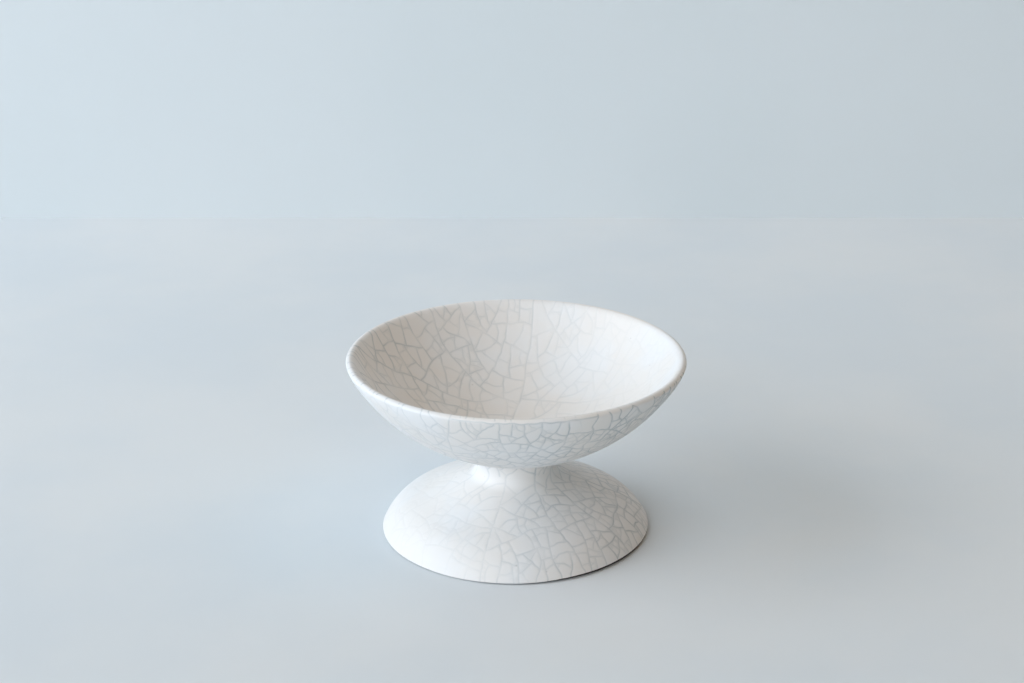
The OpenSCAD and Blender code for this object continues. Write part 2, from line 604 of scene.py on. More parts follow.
def crossing_line(net, shape, low, high, style, loose):
    """Points of a crack between two places of a plate's loop, or nothing where it comes out badly."""
    loop = shape.loop
    chord = loop[high] - loop[low]
    low_way, low_corner = square_way(loop, low, chord, style.square)
    high_way, high_corner = square_way(loop, high, -chord, style.square)
    if max(low_corner, high_corner) > math.cos(style.corner / loose):
        return None
    line = wandering_line(net, loop[low], loop[high], style, low_way, high_way)
    if not is_inside(line, loop).all():
        return None
    gaps = np.hypot(line[:, None, 0] - loop[:, 0], line[:, None, 1] - loop[:, 1]).min(axis=1)
    count = np.arange(1, len(line) + 1)
    run_in = np.minimum(count, len(line) + 1 - count) * crack_step
    if (gaps < np.minimum(run_in * clear_share, style.clear)).any():
        return None
    share = area_and_centre(np.vstack((loop[low:high + 1], line[::-1])))[0] / shape.area
    return line if style.least_share < share < 1 - style.least_share else None


print("near its ends a crack may be as close to others as", clear_share, "of the way it has come")

# %% Splitting one plate
most_tries = 14
loosening = 0.12
least_evenness = 0.8


def open_along(net, plate, low, high, line, strength):
    """Opens a crack along a line between two places of a plate's loop and returns the two halves."""
    inner = [net.add(point) for point in line]
    net.open_crack([plate[low], *inner, plate[high]], strength)
    return [plate[low:high + 1] + inner[::-1], plate[high:] + plate[:low + 1] + inner]


def split_plate(net, plate, style):
    """Opens one crack across a plate and returns the two halves, or nothing where no crack fits."""
    shape = measured(net, plate, style)
    for attempt in range(most_tries):
        loose = 1 + loosening * attempt
        places = crossing_places(net, shape, style, loose)
        line = crossing_line(net, shape, *places, style, loose) if places else None
        if line is not None:
            strength = min(1.0, style.faint + (1 - style.faint) * shape.area / style.bold_area)
            strength *= net.chance.uniform(least_evenness, 1.0)
            return open_along(net, plate, *places, line, strength)
    return None


print("a plate gets", most_tries, "tries to crack")

# %% [markdown]
# ## The whole crackle
# Splitting goes on plate by plate until each is small enough. Here and there a crack has no force left and
# stops half-way, so it is drawn last, into a finished plate. A coat with a hole in its middle, such as the
# outside or the foot, is no plate yet, because its chart is a ring. It first gets long cracks from edge to
# edge, as the real coat does, and the pieces between them are the first plates.

# %% Cracks that die out
dying_reach = (0.6, 1.0)
dying_stray = 0.15


def dying_crack(net, plate, style):
    """A short crack that leaves the plate's edge and dies out before it gets across."""
    loop = net.places(plate)
    area, centre = area_and_centre(loop)
    start = free_end(net, plate, net.chance.randrange(len(plate)), 0)
    aim = np.array([net.chance.gauss(0, 1), net.chance.gauss(0, 1)])
    reach = net.chance.uniform(*dying_reach)
    if start is None:
        return
    tip = loop[start] + (centre + dying_stray * math.sqrt(area) * aim - loop[start]) * reach
    way = unit(tip - loop[start])
    if np.hypot(*(tip - loop[start])) < fewest_points * crack_step:
        return
    line = wandering_line(net, loop[start], tip, style, way, -way)
    if is_inside(np.vstack((line, tip)), loop).all():
        run = [plate[start]] + [net.add(point, False) for point in line] + [net.add(tip, False)]
        net.open_crack(run, -style.faint)


print("a dying crack stops after", dying_reach, "of the way to the plate's middle")

# %% Splitting until the plates are small
split_limit = 1.5


def crackle(net, plates, style):
    """Splits the first plates again and again, until each is as small as the style asks."""
    waiting = list(plates)
    while waiting:
        plate = waiting.pop()
        area, centre = area_and_centre(net.places(plate))
        rightness = max(0.0, unit(centre)[0])
        size = style.size * (1 - style.finer_right * rightness)
        goal = size ** 2 * net.chance.lognormvariate(0, style.spread)
        halves = split_plate(net, plate, style) if area > split_limit * goal else None
        if halves:
            waiting.extend(halves)
        else:
            net.plates.append(plate)
    for plate in list(net.plates):
        if net.chance.random() < style.dying:
            dying_crack(net, plate, style)


print("a plate splits when it is above", split_limit, "times the size it should have")

# %% First cracks of a coat with a hole in its middle
first_jitter = 0.25
first_lean = 0.08
first_clear_share = 3


def ring_between(ring, first, last):
    """The stretch of a ring from one of its places round to another."""
    span = (last - first) % len(ring)
    return [ring[(first + step) % len(ring)] for step in range(span + 1)]


def ring_gap(one, two, ring):
    """How many places of a ring lie between two of them, the short way round."""
    return abs((one - two + len(ring) / 2) % len(ring) - len(ring) / 2)


def open_place(net, ring, share):
    """The place of a ring nearest to a share of its turn, among those where a crack may end."""
    places = [place for place, number in enumerate(ring) if net.may_end[number]]
    return min(places, key=lambda place: ring_gap(place, share * len(ring), ring))


def least_gap(line, other):
    """The shortest distance between the points of two lines."""
    return np.hypot(line[:, None, 0] - other[:, 0], line[:, None, 1] - other[:, 1]).min()


def first_cracks(net, inner, outer, style):
    """Long cracks from the inner ring to the outer one, which leave a ring-shaped chart in plates."""
    count = style.first_count
    runs = []
    for number in range(count):
        share = (number + net.chance.uniform(-first_jitter, first_jitter)) / count
        low = open_place(net, inner, share)
        high = open_place(net, outer, low / len(inner) + net.chance.gauss(0, first_lean) / count)
        first, last = net.places([inner[low], outer[high]])
        way = unit(last - first)
        line = wandering_line(net, first, last, style, way, -way)
        if any(least_gap(line, net.places(run)) < first_clear_share * style.clear for _, _, run in runs):
            continue
        run = [inner[low]] + [net.add(point) for point in line] + [outer[high]]
        net.open_crack(run, 1.0)
        runs.append((low, high, run))
    plates = []
    for (low, high, run), (next_low, next_high, next_run) in zip(runs, runs[1:] + runs[:1]):
        over = ring_between(outer, high, next_high)
        under = ring_between(inner, low, next_low)
        plates.append(run[:-1] + over + next_run[-2:0:-1] + under[:0:-1])
    return plates


print("first cracks keep", first_clear_share, "times the usual distance")

# %% [markdown]
# ## Three crackles
# Each coat cracks in its own way. Inside the bowl the plates are large, with long cracks that climb to the
# lip and rungs between them, and many meet in stars. Outside they are smaller and more restless, most of
# all to the right, and one crack follows the lip. On the foot long cracks run down to the edge. Cracks go
# on over the lip and the waist, so each coat hands the next one the places where its own cracks end.
#
# A style holds what differs. size is the width of a plate and spread its unevenness, and grain above 1
# makes more cracks run up and down. lean, shift, bow and wander loosen a crack, square and corner say how
# it meets older ones, and stars how often it ends where others do. clear is the least gap between cracks
# and least_share the smallest half. faint is the weakest crack, and bold_area the plate that gives a
# full one. dying is the share of plates with a crack that stops half-way.

# %% Crackle of the inside
inside_style = SimpleNamespace(
    size=7.3 * mm, spread=0.50, finer_right=0.0, grain=1.25, lean=0.20, shift=0.22, stars=0.30,
    bow=0.04, wander=0.012, square=0.80, corner=math.radians(50), clear=1.0 * mm, least_share=0.20,
    faint=0.5, bold_area=200 * mm ** 2, dying=0.10,
)
inside_net = CrackNet(seed=11)
inside_crest = add_ring(inside_net, inside_coat.end, crest_count)
crackle(inside_net, [inside_crest], inside_style)
crest_endings = [inside_net.endings[number] > 0 for number in inside_crest]
print("inside plates:", len(inside_net.plates), "cracks over the lip:", sum(crest_endings))

# %% A crack along the lip
lip_crack_drop = 1.4 * mm
lip_crack_wander = 0.25 * mm
lip_crack_waves = wander_lengths[1:3]
lip_crack_strength = 0.9
lip_crack_turn = math.radians(-66)
lip_crack_way = np.array([math.cos(lip_crack_turn), math.sin(lip_crack_turn)])


def lip_crack(net, plate, radius):
    """A crack that follows the lip, from one long side of a first plate to the other."""
    loop = net.places(plate)
    reach = lengths_of(loop)
    beyond = np.flatnonzero(reach > radius)
    low = int(beyond[0])
    high = int(beyond[-1])
    first_turn = angle_of(loop[low])
    span = (angle_of(loop[high]) - first_turn) % (2 * math.pi)
    along = np.linspace(0, 1, round(span * radius / crack_step) + 1)[1:-1]
    distance = reach[low] + along * (reach[high] - reach[low])
    for wave in lip_crack_waves:
        phase = net.chance.uniform(0, 2 * math.pi)
        waves = 2 * math.pi * along * span * radius / wave
        swing = (np.sin(waves + phase) - math.sin(phase)) * np.sin(math.pi * along)
        distance += lip_crack_wander * swing
    turns = first_turn + along * span
    line = distance[:, None] * ways_at(turns)
    return open_along(net, plate, low, high, line, lip_crack_strength)


print("the crack along the lip lies", round(lip_crack_drop / mm, 2), "mm from its crest")

# %% Crackle of the outside
outside_style = SimpleNamespace(
    size=6.1 * mm, spread=0.55, finer_right=0.30, grain=1.0, lean=0.32, shift=0.26, stars=0.22,
    bow=0.06, wander=0.018, square=0.80, corner=math.radians(50), clear=0.8 * mm, least_share=0.18,
    faint=0.34, bold_area=130 * mm ** 2, dying=0.20, first_count=7,
)
outside_net = CrackNet(seed=23)
outside_waist = add_ring(outside_net, outside_coat.start, waist_count)
outside_crest = add_ring(outside_net, outside_coat.end, crest_count, crest_endings)
outside_first = first_cracks(outside_net, outside_waist, outside_crest, outside_style)
first_centres = [area_and_centre(outside_net.places(plate))[1] for plate in outside_first]
facing = [unit(centre) @ lip_crack_way for centre in first_centres]
front_plate = outside_first.pop(int(np.argmax(facing)))
outside_first += lip_crack(outside_net, front_plate, outside_coat.end - lip_crack_drop)
crackle(outside_net, outside_first, outside_style)
waist_endings = [outside_net.endings[number] > 0 for number in outside_waist]
print("outside plates:", len(outside_net.plates), "cracks over the waist:", sum(waist_endings))

# %% Crackle of the foot
foot_style = SimpleNamespace(
    size=6.3 * mm, spread=0.50, finer_right=0.15, grain=1.1, lean=0.14, shift=0.20, stars=0.08,
    bow=0.05, wander=0.012, square=0.95, corner=math.radians(60), clear=0.9 * mm, least_share=0.20,
    faint=0.5, bold_area=150 * mm ** 2, dying=0.15, first_count=13,
)
foot_net = CrackNet(seed=37)
foot_waist = add_ring(foot_net, foot_coat.start, waist_count, waist_endings)
foot_edge = add_ring(foot_net, foot_coat.end, edge_count)
foot_first = first_cracks(foot_net, foot_waist, foot_edge, foot_style)
crackle(foot_net, foot_first, foot_style)
print("foot plates:", len(foot_net.plates))

# %% [markdown]
# ## From cracks to a mesh
# The cracks could be drawn by a shader, but a shader has no list of lines to draw. Instead the mesh
# follows the cracks: its edges run along each crack, with a row of points on either side, so the crack is
# a shallow groove in the real surface. Each point also keeps two numbers for the material, how far it is
# from a crack and how strong that crack is. Delaunay triangulation fills the plates in between.

# %% How far and how strong the nearest crack is


def tree_of(points, numbers):
    """A tree that finds the nearest of some numbered points of a chart."""
    tree = KDTree(len(numbers))
    for number in numbers:
        tree.insert((*points[number], 0), number)
    tree.balance()
    return tree


def gap_to(tree, x, y):
    """How far a place of the chart is from the nearest point of a tree."""
    return tree.find((x, y, 0))[2]


def crack_strengths(net):
    """How strong the crack is at each point of the net, and the numbers of the points on cracks."""
    strong = np.zeros(len(net.points))
    for run, strength in net.cracks:
        fade = np.ones(len(run)) if strength > 0 else np.linspace(1, 0, len(run))
        strong[run] = np.maximum(strong[run], abs(strength) * fade)
    return strong, sorted({number for run, _ in net.cracks for number in run})


def nearest_cracks(places, crack_tree, strong):
    """For each place, the distance to the nearest crack and how strong that crack is."""
    found = [crack_tree.find((x, y, 0)) for x, y in places]
    gaps = np.array([gap for _, _, gap in found])
    return gaps, strong[[number for _, number, _ in found]]


for net in (inside_net, outside_net, foot_net):
    print("points on cracks:", len(crack_strengths(net)[1]), "of", len(net.points))

# %% Points beside the cracks
line_half_width = 0.38 * mm
beside_share = 0.85


def points_beside(net, coat, tree):
    """Points on both sides of every crack, where no other crack is near."""
    low = coat.start + line_half_width
    high = coat.end - line_half_width
    beside = []
    for run, _ in net.cracks:
        line = net.places(run)
        along = np.gradient(line, axis=0)
        along /= lengths_of(along)[:, None]
        side = np.column_stack((-along[:, 1], along[:, 0])) * line_half_width
        for x, y in np.vstack((line + side, line - side)):
            is_clear = gap_to(tree, x, y) > beside_share * line_half_width
            if is_clear and low < math.hypot(x, y) < high:
                beside.append((x, y))
    return np.array(beside)


print("a crack with its sides is", round(2 * line_half_width / mm, 2), "mm wide")

# %% Close rings at tight bends
tight_radius = 15 * mm
ring_sag = 0.01 * mm
ring_pitch = 1.1 * mm
ring_gap_least = 0.2 * mm


def rings_of_points(coat, layer):
    """Close rings of points where a layer bends tightly, which are the lip and the hollows of the waist.

    The bend sets their distance: a straight step over it leaves the curve by ring_sag at most."""
    bend = lengths_of(np.gradient(layer.normal, layer.reach, axis=0))
    rings = []
    distance = coat.start
    while distance < coat.end - ring_gap_least:
        bend_here = np.interp(distance, layer.reach, bend)
        is_tight = bend_here > 1 / tight_radius
        if is_tight and distance > coat.start:
            radius = np.interp(distance, layer.reach, layer.curve[:, 0])
            count = round(2 * math.pi * radius / ring_pitch)
            turns = np.linspace(0, 2 * math.pi, count, endpoint=False)
            rings.append(distance * ways_at(turns))
        distance += math.sqrt(8 * ring_sag / bend_here) if is_tight else ring_gap_least
    return np.vstack(rings)


for coat in coats:
    print(coat.name, "has", len(rings_of_points(coat, coat.face)), "points on close rings")

# %% Points over the plates
ring_clear_share = 0.8
row_share = math.sqrt(0.75)


def points_between(coat, layer, tree, step, clearance):
    """An even spread of points over the plates, clear of the cracks, the close rings and the edges."""
    rings = rings_of_points(coat, layer)
    ring_reach = lengths_of(rings)
    spread = []
    rows = int(coat.end / (step * row_share)) + 1
    for row in range(-rows, rows + 1):
        for column in range(-rows - 1, rows + 2):
            x = (column + 0.5 * (row % 2)) * step
            y = row * step * row_share
            distance = math.hypot(x, y)
            if not coat.start + clearance < distance < coat.end - clearance:
                continue
            if np.abs(ring_reach - distance).min() > clearance:
                spread.append((x, y))
    kept = []
    for points, gap in ((rings, ring_clear_share * line_half_width), (spread, clearance)):
        for x, y in points:
            if tree is None or gap_to(tree, x, y) > gap:
                kept.append((x, y))
    return np.array(kept)


print("rows of points lie", round(row_share, 3), "of a step apart")

# %% Triangles, edges and rims
weld_distance = 1e-5
hole_share = 0.9995


def triangles_of(points, edges, coat):
    """Triangles over the chart that keep the given edges, counter-clockwise, without the middle's hole."""
    flat = [Vector((x, y)) for x, y in points / mm]
    made_faces, came_from = delaunay_2d_cdt(flat, edges, [], 0, weld_distance)[2:4]
    faces = [[came_from[corner][0] for corner in face] for face in made_faces]
    corners = np.array(points)[np.array(faces)]
    middle = corners.mean(axis=1)
    first_side = corners[:, 1] - corners[:, 0]
    last_side = corners[:, 2] - corners[:, 0]
    turned = first_side[:, 0] * last_side[:, 1] - first_side[:, 1] * last_side[:, 0] < 0
    kept = lengths_of(middle) > coat.start * hole_share
    return [face[::-1] if flip else face for face, flip, keep in zip(faces, turned, kept) if keep]


def edge_rings(coat):
    """The pairs of neighbouring points along each edge of a coat, from the inner edge to the outer one."""
    rings = []
    first = 0
    for count in coat.counts:
        rings.append([(first + step, first + (step + 1) % count) for step in range(count)])
        first += count
    return rings


def rim_faces(coat, shift):
    """Faces along a coat's edges, from its face to its back, whose points come shift later."""
    faces = []
    rings = edge_rings(coat)
    for ring in rings:
        for one, two in ring:
            rim = [two, one, one + shift, two + shift]
            faces.append(rim if ring is rings[-1] else rim[::-1])
    return faces


for coat in coats:
    print(coat.name, "has edges with", [len(ring) for ring in edge_rings(coat)], "points")

# %% [markdown]
# ## The shell of a coat
# A coat of glaze is a thin shell: a crackled face to the air, a plain back on the clay and narrow rims
# along its edges. A Solidify modifier could thicken the face, but it would copy the fine crackle to the
# hidden back as well. So the back is a coarse sheet of its own, and one row of faces closes each edge.

# %% The face and the back of a coat
groove_depth = 0.05 * mm
touching = 1e-9
plate_step = 2.0 * mm
plate_clear_share = 0.45
back_step = 4.5 * mm
back_clear_share = 0.5


def crackled_face(coat, net):
    """The face of a coat, with a groove along each crack and the two crack values at each point."""
    tree = tree_of(net.points, range(len(net.points)))
    beside = points_beside(net, coat, tree)
    between = points_between(coat, coat.face, tree, plate_step, plate_clear_share * plate_step)
    chart = np.vstack((net.points, beside, between))
    strength, on_cracks = crack_strengths(net)
    gap, strong = nearest_cracks(chart, tree_of(net.points, on_cracks), strength)
    crack_edges = [pair for run, _ in net.cracks for pair in zip(run[:-1], run[1:])]
    triangles = triangles_of(chart, crack_edges + sum(edge_rings(coat), []), coat)
    depth = np.where(gap < touching, groove_depth * strong, 0.0)
    depth[:sum(coat.counts)] = 0
    to_edge = coat.end - lengths_of(chart)
    places = place_on(coat, coat.face, chart, coat.fullness(to_edge) - depth)
    return SimpleNamespace(chart=chart, places=places, triangles=triangles, gap=gap, strong=strong)


def plain_back(coat, net, floor_z):
    """The back of a coat, which lies on the clay."""
    between = points_between(coat, coat.back, None, back_step, back_clear_share * back_step)
    chart = np.vstack((net.points[:sum(coat.counts)], between))
    places = place_on(coat, coat.back, chart, -glaze_thickness, floor_z)
    triangles = triangles_of(chart, sum(edge_rings(coat), []), coat)
    return SimpleNamespace(chart=chart, places=places, triangles=triangles)


print("grooves are up to", round(groove_depth / mm, 3), "mm deep")

# %% Values and a texture map for the mesh
map_middle = 0.5
face_map_share = 0.495
back_map_share = 0.13
back_fill_share = 0.9


def add_point_values(mesh, label, values):
    """One number for each point of a mesh, for the material to read. The points of the back get 0."""
    attribute = mesh.attributes.new(label, "FLOAT", "POINT")
    blank = np.zeros(len(mesh.vertices) - len(values))
    attribute.data.foreach_set("value", np.concatenate((values, blank)).astype(np.float32))


def add_chart_map(mesh, coat, face, back):
    """Lays the charts out as the texture map: the face over all of it, back and rims in a corner."""
    shift = len(face.chart)
    corner_middle = map_middle * back_map_share
    face_map = map_middle + face.chart / coat.end * face_map_share
    back_map = corner_middle + back.chart / coat.end * corner_middle * back_fill_share
    corners = np.empty(len(mesh.loops), np.int32)
    mesh.loops.foreach_get("vertex_index", corners)
    laid = np.vstack((face_map, back_map))[corners]
    rim_first = (len(face.triangles) + len(back.triangles)) * 3
    rim_corners = corners[rim_first:]
    on_face = rim_corners < shift
    rim_map = corner_middle + face.chart[rim_corners[on_face]] / coat.end * corner_middle
    laid[rim_first:][on_face] = rim_map
    mesh.uv_layers.new(name="OFBake").uv.foreach_set("vector", laid.astype(np.float32).ravel())


print("the back of a coat takes", back_map_share, "of its texture map's width")

# %% Three shells of glaze
sharp_angle = math.radians(50)


def build_coat(coat, net, floor_z):
    """A closed shell of glaze: a crackled face, a plain back on the clay and rims that join the two."""
    face = crackled_face(coat, net)
    back = plain_back(coat, net, floor_z)
    shift = len(face.chart)
    faces = face.triangles + [[corner + shift for corner in corners[::-1]] for corners in back.triangles]
    faces += rim_faces(coat, shift)
    if coat.side < 0:
        faces = [corners[::-1] for corners in faces]

    mesh = bpy.data.meshes.new(coat.name)
    mesh.from_pydata(np.vstack((face.places, back.places)).tolist(), [], faces)
    mesh.shade_smooth()
    mesh.set_sharp_from_angle(angle=sharp_angle)
    add_point_values(mesh, "crack_gap", face.gap)
    add_point_values(mesh, "crack_strong", face.strong)
    add_chart_map(mesh, coat, face, back)

    piece = bpy.data.objects.new("crackled_" + coat.name, mesh)
    scene.collection.objects.link(piece)
    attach(piece, "root")
    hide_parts(coat.name)
    print(piece.name, "has", len(mesh.polygons), "faces")
    return piece


inside_piece = build_coat(inside_coat, inside_net, bowl_floor_z - glaze_thickness)
outside_piece = build_coat(outside_coat, outside_net, waist_z)
foot_piece = build_coat(foot_coat, foot_net, 0.0)

# %% [markdown]
# ## Shared finishes
# Several materials need the same few effects: stain in the cracks, a slow drift of tone, fine grain. Each
# could be drawn anew in every material. Instead each effect is a node group with named sockets, built once
# and placed in every material with its own values, so that one change reaches all of them.

# %% Helpers for node groups
no_place = (0.0, 0.0, 0.0)
plain_grey = (0.8, 0.8, 0.8, 1)


def socket_kind(value):
    """The kind of socket that holds a value: a number, a place or a colour."""
    size = len(value) if isinstance(value, tuple) else 1
    return {1: "NodeSocketFloat", 3: "NodeSocketVector", 4: "NodeSocketColor"}[size]


def new_group(name, inputs, outputs):
    """An empty node group with named sockets. Each is given with a value, which tells its kind."""
    group = bpy.data.node_groups.new(name, "ShaderNodeTree")
    for label, value in inputs.items():
        socket = group.interface.new_socket(label, in_out="INPUT", socket_type=socket_kind(value))
        socket.default_value = value
    for label, value in outputs.items():
        group.interface.new_socket(label, in_out="OUTPUT", socket_type=socket_kind(value))
    return group, group.nodes.new("NodeGroupInput").outputs, group.nodes.new("NodeGroupOutput").inputs


def add_node(tree, kind, links=None, **settings):
    """A node with its settings. links gives, per input, another node's output or a plain value."""
    node = tree.nodes.new(kind)
    for name, value in settings.items():
        setattr(node, name, value)
    for socket, value in (links or {}).items():
        if isinstance(value, bpy.types.NodeSocket):
            tree.links.new(value, node.inputs[socket])
        else:
            node.inputs[socket].default_value = value
    return node


print("kinds of sockets:", [socket_kind(value) for value in (0.0, no_place, plain_grey)])

# %% Helpers for single steps


def add_math(tree, operation, first, second=0.5):
    return add_node(tree, "ShaderNodeMath", {0: first, 1: second}, operation=operation).outputs[0]


def add_product(tree, *values):
    """Several values multiplied with each other."""
    product = values[0]
    for value in values[1:]:
        product = add_math(tree, "MULTIPLY", product, value)
    return product


def add_rest(tree, value):
    """What is left of 1 when a value is taken away."""
    return add_math(tree, "SUBTRACT", 1.0, value)


def add_mix(tree, share, first, second):
    """A blend of two colours, which are the Mix node's inputs 6 and 7 and its output 2."""
    node = add_node(tree, "ShaderNodeMix", {0: share, 6: first, 7: second}, data_type="RGBA")
    return node.outputs[2]


def add_noise(tree, place, scale, detail=3.0, roughness=0.55):
    links = {"Vector": place, "Scale": scale, "Detail": detail, "Roughness": roughness}
    return add_node(tree, "ShaderNodeTexNoise", links).outputs["Fac"]


def add_step(tree, value, low, high):
    """A soft step from 0 to 1 between two values."""
    links = {"Value": value, "From Min": low, "From Max": high}
    node = add_node(tree, "ShaderNodeMapRange", links, interpolation_type="SMOOTHSTEP")
    return node.outputs["Result"]


step_helpers = [add_math, add_product, add_rest, add_mix, add_noise, add_step]
print("helpers:", [helper.__name__ for helper in step_helpers])

# %% Stain in the cracks, darker on the shaded side as painted shade
patch_low = 0.30
patch_high = 0.62
least_shade_lean = 0.2

stain_group, given, made = new_group(
    "Crackle stain",
    {
        "Place": no_place, "Gap": 0.0, "Strong": 0.0, "Line Width": 0.4 * mm, "Bleed Width": 0.9 * mm,
        "Bleed Share": 0.7, "Patch Scale": 90.0, "Unevenness": 0.6, "Shade Lean": no_place,
    },
    {"Stain": 0.0},
)
patches = add_noise(stain_group, given["Place"], given["Patch Scale"])
patches = add_step(stain_group, patches, patch_low, patch_high)
held_back = add_product(stain_group, add_rest(stain_group, patches), given["Unevenness"])
taken_up = add_rest(stain_group, held_back)
# The lean is painted shade: it makes the stain darker towards the side of a coat that lies in shade and
# fainter towards its lit side.
dot_links = {0: given["Place"], 1: given["Shade Lean"]}
lean = add_node(stain_group, "ShaderNodeVectorMath", dot_links, operation="DOT_PRODUCT").outputs["Value"]
lean = add_math(stain_group, "MAXIMUM", add_math(stain_group, "ADD", lean, 1.0), least_shade_lean)
line = add_rest(stain_group, add_step(stain_group, given["Gap"], 0.0, given["Line Width"]))
bleed = add_rest(stain_group, add_step(stain_group, given["Gap"], 0.0, given["Bleed Width"]))
line = add_product(stain_group, line, add_rest(stain_group, given["Bleed Share"]))
bleed = add_product(stain_group, bleed, given["Bleed Share"])
stain = add_math(stain_group, "ADD", line, bleed)
stain = add_product(stain_group, stain, given["Strong"], taken_up, lean)
stain_group.links.new(stain, made["Stain"])
print("node group:", stain_group.name)

# %% Slow drift of tone
drift_low = 0.35
drift_high = 0.65
drift_detail = 4.0

tone_group, given, made = new_group(
    "Drifting tone",
    {"Place": no_place, "Scale": 20.0, "Color A": plain_grey, "Color B": plain_grey},
    {"Color": plain_grey},
)
drift = add_noise(tone_group, given["Place"], given["Scale"], drift_detail)
drift = add_step(tone_group, drift, drift_low, drift_high)
tone_group.links.new(add_mix(tone_group, drift, given["Color A"], given["Color B"]), made["Color"])
print("node group:", tone_group.name)

# %% Fine grain and specks
grain_detail = 2.0
chosen_low = 0.80
chosen_high = 0.95
speck_softness = 0.05

grain_group, given, made = new_group(
    "Fine grain",
    {"Place": no_place, "Grain Scale": 900.0, "Speck Scale": 160.0, "Speck Size": 0.1},
    {"Grain": 0.0, "Specks": 0.0},
)
grain = add_noise(grain_group, given["Place"], given["Grain Scale"], grain_detail)
speck_links = {"Vector": given["Place"], "Scale": given["Speck Scale"]}
spots = add_node(grain_group, "ShaderNodeTexVoronoi", speck_links)
chosen = add_node(grain_group, "ShaderNodeSeparateColor", {"Color": spots.outputs["Color"]}).outputs[0]
chosen = add_step(grain_group, chosen, chosen_low, chosen_high)
size = add_product(grain_group, chosen, given["Speck Size"])
specks = add_math(grain_group, "SUBTRACT", size, spots.outputs["Distance"])
specks = add_step(grain_group, specks, 0.0, speck_softness)
grain_group.links.new(grain, made["Grain"])
grain_group.links.new(specks, made["Specks"])
print("node group:", grain_group.name)

# %% [markdown]
# ## The glaze
# The glaze is a satin white: no sharp highlights, a slow change between a warm and a cool white, a few
# pinholes, and grey stain in the cracks. A painted picture of the cracks would blur close by, so the
# material reads the two numbers of each mesh point instead. The three coats share the recipe and differ in
# how dark their stain is and to which side it grows darker. That lean is painted shade: the stain is
# darker on the side of each coat that lies in shade and fainter on its lit side.

# %% Helpers for materials


def add_group(tree, group, links):
    return add_node(tree, "ShaderNodeGroup", links, node_tree=group).outputs


def new_material(name):
    """A material with one Principled shader. Also gives its tree, the shader and places in metres."""
    material = bpy.data.materials.new(name)
    material.use_nodes = True
    tree = material.node_tree
    shader = tree.nodes["Principled BSDF"]
    place = tree.nodes.new("ShaderNodeTexCoord").outputs["Object"]
    print("material:", name)
    return material, tree, shader, place


def add_bump(tree, shader, height, distance):
    bump = add_node(tree, "ShaderNodeBump", {"Height": height, "Distance": distance, "Strength": 1.0})
    tree.links.new(bump.outputs["Normal"], shader.inputs["Normal"])


def add_roughness(tree, shader, grain, least, swing):
    """Roughness that rises with the grain, from its least value by up to its swing."""
    rough = add_math(tree, "ADD", add_product(tree, grain, swing), least)
    tree.links.new(rough, shader.inputs["Roughness"])


print("shared effects:", [group.name for group in (stain_group, tone_group, grain_group)])

# %% Glaze material
warm_white = (0.83, 0.80, 0.77, 1)
cool_white = (0.83, 0.83, 0.83, 1)
stain_grey = (0.165, 0.25, 0.295, 1)
pinhole_grey = (0.45, 0.42, 0.40, 1)
pinhole_share = 0.3
glaze_roughness = 0.48
glaze_roughness_swing = 0.16
glaze_grain_height = 0.02 * mm


def make_glaze(name, stain_share, lean):
    """The glaze of one coat. lean: how much darker the stain grows per metre to the right, as painted
    shade.
    """
    material, tree, shader, place = new_material(name)
    gap = add_node(tree, "ShaderNodeAttribute", attribute_name="crack_gap").outputs["Fac"]
    strong = add_node(tree, "ShaderNodeAttribute", attribute_name="crack_strong").outputs["Fac"]
    tone = add_group(tree, tone_group, {
        "Place": place, "Scale": 28.0, "Color A": warm_white, "Color B": cool_white,
    })
    grain = add_group(tree, grain_group, {
        "Place": place, "Grain Scale": 700.0, "Speck Scale": 150.0, "Speck Size": 0.09,
    })
    stain = add_group(tree, stain_group, {
        "Place": place, "Gap": gap, "Strong": strong, "Shade Lean": (lean, 0, 0),
    })
    pinholes = add_product(tree, grain["Specks"], pinhole_share)
    colour = add_mix(tree, pinholes, tone["Color"], pinhole_grey)
    colour = add_mix(tree, add_product(tree, stain["Stain"], stain_share), colour, stain_grey)
    tree.links.new(colour, shader.inputs["Base Color"])
    add_roughness(tree, shader, grain["Grain"], glaze_roughness, glaze_roughness_swing)
    add_bump(tree, shader, grain["Grain"], glaze_grain_height)
    return material


# The stain grows darker to the left inside and to the right outside and on the foot, which are the sides
# in shade: painted shade.
inside_piece.data.materials.append(make_glaze("inside_glaze", stain_share=0.23, lean=-16.0))
outside_piece.data.materials.append(make_glaze("outside_glaze", stain_share=0.43, lean=12.0))
foot_piece.data.materials.append(make_glaze("foot_glaze", stain_share=0.265, lean=22.0))

# %% [markdown]
# ## Clay and slip
# The foot ring and the hollow under the foot are bare: a dark gritty clay with the rings that the potter's
# fingers and tool left. The slip in the joint is the same clay thinned with water, so it is paler and
# smoother. These pieces keep the solid model's own shapes and only get materials, and a bump map is
# enough for rings this shallow.

# %% Rings of throwing and turning
wobble_scale = 40.0
wobble_detail = 2.0
wobble_width = 4.0 * mm

ring_group, given, made = new_group(
    "Turned rings",
    {"Place": no_place, "Spacing": 4.0 * mm},
    {"Rings": 0.0},
)
axes = add_node(ring_group, "ShaderNodeSeparateXYZ", {0: given["Place"]}).outputs
across = add_product(ring_group, axes["X"], axes["X"])
along = add_product(ring_group, axes["Y"], axes["Y"])
radius = add_math(ring_group, "SQRT", add_math(ring_group, "ADD", across, along))
wobble = add_noise(ring_group, given["Place"], wobble_scale, wobble_detail)
radius = add_math(ring_group, "ADD", radius, add_product(ring_group, wobble, wobble_width))
turns = add_math(ring_group, "DIVIDE", radius, given["Spacing"])
waves = add_math(ring_group, "SINE", add_product(ring_group, turns, 2 * math.pi))
half_waves = add_product(ring_group, waves, 0.5)
ring_group.links.new(add_math(ring_group, "ADD", half_waves, 0.5), made["Rings"])
print("node group:", ring_group.name)

# %% Clay material
grit_share = 0.6
clay_roughness_swing = 0.2
clay_ring_share = 0.7
clay_grain_share = 0.5
clay_relief = 0.15 * mm
clay_shine = 0.12


